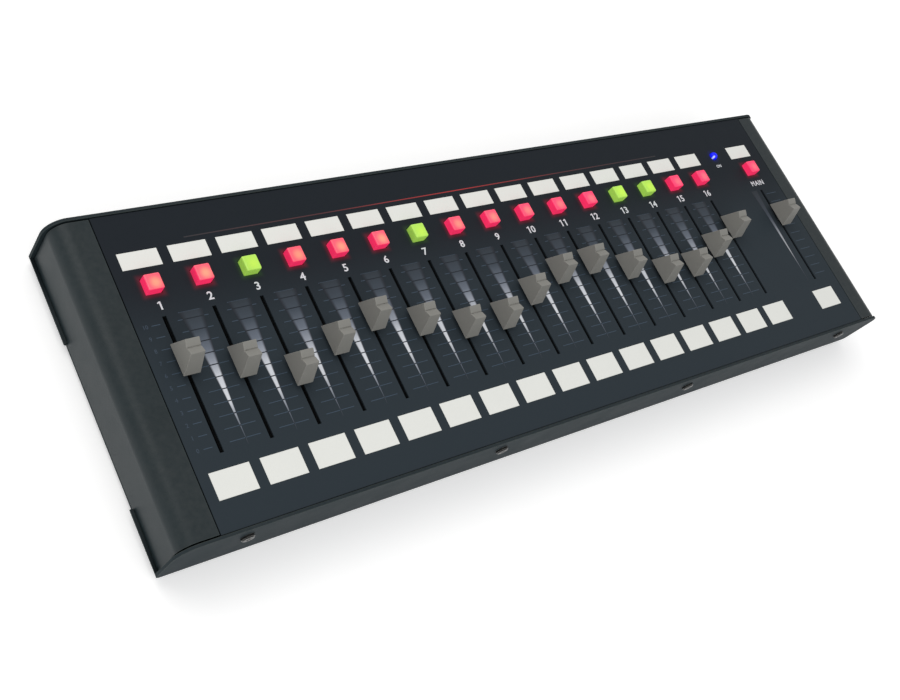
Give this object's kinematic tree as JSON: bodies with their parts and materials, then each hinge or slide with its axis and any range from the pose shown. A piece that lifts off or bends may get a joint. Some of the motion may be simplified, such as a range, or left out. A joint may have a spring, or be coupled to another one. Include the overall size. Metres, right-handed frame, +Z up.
{
  "type": "fader control desk",
  "caption": "Flat desk-top control surface with a row of channel faders, a lit button and write-on labels above and below each fader, and a separate master fader at the right.",
  "frame": {"origin": "centre of the footprint on the table, at the underside of the feet", "axes": "+X along the row of faders towards the master, +Y towards the rear wall, +Z up"},
  "size_m": [0.507, 0.1612, 0.0504],
  "materials": {
    "pan_steel": "satin powder coat",
    "panel_steel": "satin paint",
    "overlay_film": "fine matt film",
    "cheek_plastic": "satin",
    "label_white": "matt",
    "cap_grey": "satin",
    "button_red": "translucent, lit",
    "button_green": "translucent, lit",
    "lamp_blue": "clear tinted",
    "plated_steel": "zinc plated",
    "board_black": "matt",
    "board_green": "solder mask",
    "spacer_brass": "turned",
    "screw_black": "black oxide",
    "foot_rubber": "matt",
    "socket_black": "matt",
    "contact_gold": "plated"
  },
  "bodies": {
    "case": {"base_pan": "pan_steel", "board_link": "board_black", "board_screws": "plated_steel", "board_spacers": "spacer_brass", "case_screws": "screw_black", "cheek_screws": "screw_black", "clinch_nuts": "plated_steel", "fader_board": "board_green", "fader_housings": "plated_steel", "fader_tracks": "board_black", "left_cheek": "cheek_plastic", "lower_label_inserts": "label_white", "main_board": "board_green", "main_board_chips": "board_black", "main_board_spacers": "spacer_brass", "network_contacts": "contact_gold", "network_socket": "socket_black", "panel_overlay": "overlay_film", "power_inlet": "socket_black", "power_lamp": "lamp_blue", "right_cheek": "cheek_plastic", "rubber_feet": "foot_rubber", "switch_bodies": "board_black", "top_panel": "panel_steel", "upper_label_inserts": "label_white"},
    "fader_01": {"fader_knob_01": "cap_grey"},
    "fader_02": {"fader_knob_02": "cap_grey"},
    "fader_03": {"fader_knob_03": "cap_grey"},
    "fader_04": {"fader_knob_04": "cap_grey"},
    "fader_05": {"fader_knob_05": "cap_grey"},
    "fader_06": {"fader_knob_06": "cap_grey"},
    "fader_07": {"fader_knob_07": "cap_grey"},
    "fader_08": {"fader_knob_08": "cap_grey"},
    "fader_09": {"fader_knob_09": "cap_grey"},
    "fader_10": {"fader_knob_10": "cap_grey"},
    "fader_11": {"fader_knob_11": "cap_grey"},
    "fader_12": {"fader_knob_12": "cap_grey"},
    "fader_13": {"fader_knob_13": "cap_grey"},
    "fader_14": {"fader_knob_14": "cap_grey"},
    "fader_15": {"fader_knob_15": "cap_grey"},
    "fader_16": {"fader_knob_16": "cap_grey"},
    "fader_master": {"fader_knob_master": "cap_grey"},
    "button_01": {"mute_button_01": "button_red"},
    "button_02": {"mute_button_02": "button_red"},
    "button_03": {"mute_button_03": "button_green"},
    "button_04": {"mute_button_04": "button_red"},
    "button_05": {"mute_button_05": "button_red"},
    "button_06": {"mute_button_06": "button_red"},
    "button_07": {"mute_button_07": "button_green"},
    "button_08": {"mute_button_08": "button_red"},
    "button_09": {"mute_button_09": "button_red"},
    "button_10": {"mute_button_10": "button_red"},
    "button_11": {"mute_button_11": "button_red"},
    "button_12": {"mute_button_12": "button_red"},
    "button_13": {"mute_button_13": "button_green"},
    "button_14": {"mute_button_14": "button_green"},
    "button_15": {"mute_button_15": "button_red"},
    "button_16": {"mute_button_16": "button_red"},
    "button_master": {"mute_button_master": "button_red"}
  },
  "joints": [
    {"name": "fader_01_slide", "type": "slide", "parent": "case", "child": "fader_01", "axis": [0, 1, 0], "range_m": [-0.0408, 0.0192]},
    {"name": "fader_02_slide", "type": "slide", "parent": "case", "child": "fader_02", "axis": [0, 1, 0], "range_m": [-0.0336, 0.0264]},
    {"name": "fader_03_slide", "type": "slide", "parent": "case", "child": "fader_03", "axis": [0, 1, 0], "range_m": [-0.0234, 0.0366]},
    {"name": "fader_04_slide", "type": "slide", "parent": "case", "child": "fader_04", "axis": [0, 1, 0], "range_m": [-0.033, 0.027]},
    {"name": "fader_05_slide", "type": "slide", "parent": "case", "child": "fader_05", "axis": [0, 1, 0], "range_m": [-0.0402, 0.0198]},
    {"name": "fader_06_slide", "type": "slide", "parent": "case", "child": "fader_06", "axis": [0, 1, 0], "range_m": [-0.0318, 0.0282]},
    {"name": "fader_07_slide", "type": "slide", "parent": "case", "child": "fader_07", "axis": [0, 1, 0], "range_m": [-0.0246, 0.0354]},
    {"name": "fader_08_slide", "type": "slide", "parent": "case", "child": "fader_08", "axis": [0, 1, 0], "range_m": [-0.024, 0.036]},
    {"name": "fader_09_slide", "type": "slide", "parent": "case", "child": "fader_09", "axis": [0, 1, 0], "range_m": [-0.033, 0.027]},
    {"name": "fader_10_slide", "type": "slide", "parent": "case", "child": "fader_10", "axis": [0, 1, 0], "range_m": [-0.0408, 0.0192]},
    {"name": "fader_11_slide", "type": "slide", "parent": "case", "child": "fader_11", "axis": [0, 1, 0], "range_m": [-0.042, 0.018]},
    {"name": "fader_12_slide", "type": "slide", "parent": "case", "child": "fader_12", "axis": [0, 1, 0], "range_m": [-0.0336, 0.0264]},
    {"name": "fader_13_slide", "type": "slide", "parent": "case", "child": "fader_13", "axis": [0, 1, 0], "range_m": [-0.0258, 0.0342]},
    {"name": "fader_14_slide", "type": "slide", "parent": "case", "child": "fader_14", "axis": [0, 1, 0], "range_m": [-0.0252, 0.0348]},
    {"name": "fader_15_slide", "type": "slide", "parent": "case", "child": "fader_15", "axis": [0, 1, 0], "range_m": [-0.0336, 0.0264]},
    {"name": "fader_16_slide", "type": "slide", "parent": "case", "child": "fader_16", "axis": [0, 1, 0], "range_m": [-0.0426, 0.0174]},
    {"name": "fader_master_slide", "type": "slide", "parent": "case", "child": "fader_master", "axis": [0, 1, 0], "range_m": [-0.0432, 0.0168]},
    {"name": "mute_button_01_press", "type": "slide", "parent": "case", "child": "button_01", "axis": [0, 0, -1], "range_m": [0, 0.001], "stiffness_N_per_m": 250, "springref_m": -0.001},
    {"name": "mute_button_02_press", "type": "slide", "parent": "case", "child": "button_02", "axis": [0, 0, -1], "range_m": [0, 0.001], "stiffness_N_per_m": 250, "springref_m": -0.001},
    {"name": "mute_button_03_press", "type": "slide", "parent": "case", "child": "button_03", "axis": [0, 0, -1], "range_m": [0, 0.001], "stiffness_N_per_m": 250, "springref_m": -0.001},
    {"name": "mute_button_04_press", "type": "slide", "parent": "case", "child": "button_04", "axis": [0, 0, -1], "range_m": [0, 0.001], "stiffness_N_per_m": 250, "springref_m": -0.001},
    {"name": "mute_button_05_press", "type": "slide", "parent": "case", "child": "button_05", "axis": [0, 0, -1], "range_m": [0, 0.001], "stiffness_N_per_m": 250, "springref_m": -0.001},
    {"name": "mute_button_06_press", "type": "slide", "parent": "case", "child": "button_06", "axis": [0, 0, -1], "range_m": [0, 0.001], "stiffness_N_per_m": 250, "springref_m": -0.001},
    {"name": "mute_button_07_press", "type": "slide", "parent": "case", "child": "button_07", "axis": [0, 0, -1], "range_m": [0, 0.001], "stiffness_N_per_m": 250, "springref_m": -0.001},
    {"name": "mute_button_08_press", "type": "slide", "parent": "case", "child": "button_08", "axis": [0, 0, -1], "range_m": [0, 0.001], "stiffness_N_per_m": 250, "springref_m": -0.001},
    {"name": "mute_button_09_press", "type": "slide", "parent": "case", "child": "button_09", "axis": [0, 0, -1], "range_m": [0, 0.001], "stiffness_N_per_m": 250, "springref_m": -0.001},
    {"name": "mute_button_10_press", "type": "slide", "parent": "case", "child": "button_10", "axis": [0, 0, -1], "range_m": [0, 0.001], "stiffness_N_per_m": 250, "springref_m": -0.001},
    {"name": "mute_button_11_press", "type": "slide", "parent": "case", "child": "button_11", "axis": [0, 0, -1], "range_m": [0, 0.001], "stiffness_N_per_m": 250, "springref_m": -0.001},
    {"name": "mute_button_12_press", "type": "slide", "parent": "case", "child": "button_12", "axis": [0, 0, -1], "range_m": [0, 0.001], "stiffness_N_per_m": 250, "springref_m": -0.001},
    {"name": "mute_button_13_press", "type": "slide", "parent": "case", "child": "button_13", "axis": [0, 0, -1], "range_m": [0, 0.001], "stiffness_N_per_m": 250, "springref_m": -0.001},
    {"name": "mute_button_14_press", "type": "slide", "parent": "case", "child": "button_14", "axis": [0, 0, -1], "range_m": [0, 0.001], "stiffness_N_per_m": 250, "springref_m": -0.001},
    {"name": "mute_button_15_press", "type": "slide", "parent": "case", "child": "button_15", "axis": [0, 0, -1], "range_m": [0, 0.001], "stiffness_N_per_m": 250, "springref_m": -0.001},
    {"name": "mute_button_16_press", "type": "slide", "parent": "case", "child": "button_16", "axis": [0, 0, -1], "range_m": [0, 0.001], "stiffness_N_per_m": 250, "springref_m": -0.001},
    {"name": "mute_button_master_press", "type": "slide", "parent": "case", "child": "button_master", "axis": [0, 0, -1], "range_m": [0, 0.001], "stiffness_N_per_m": 250, "springref_m": -0.001}
  ]
}
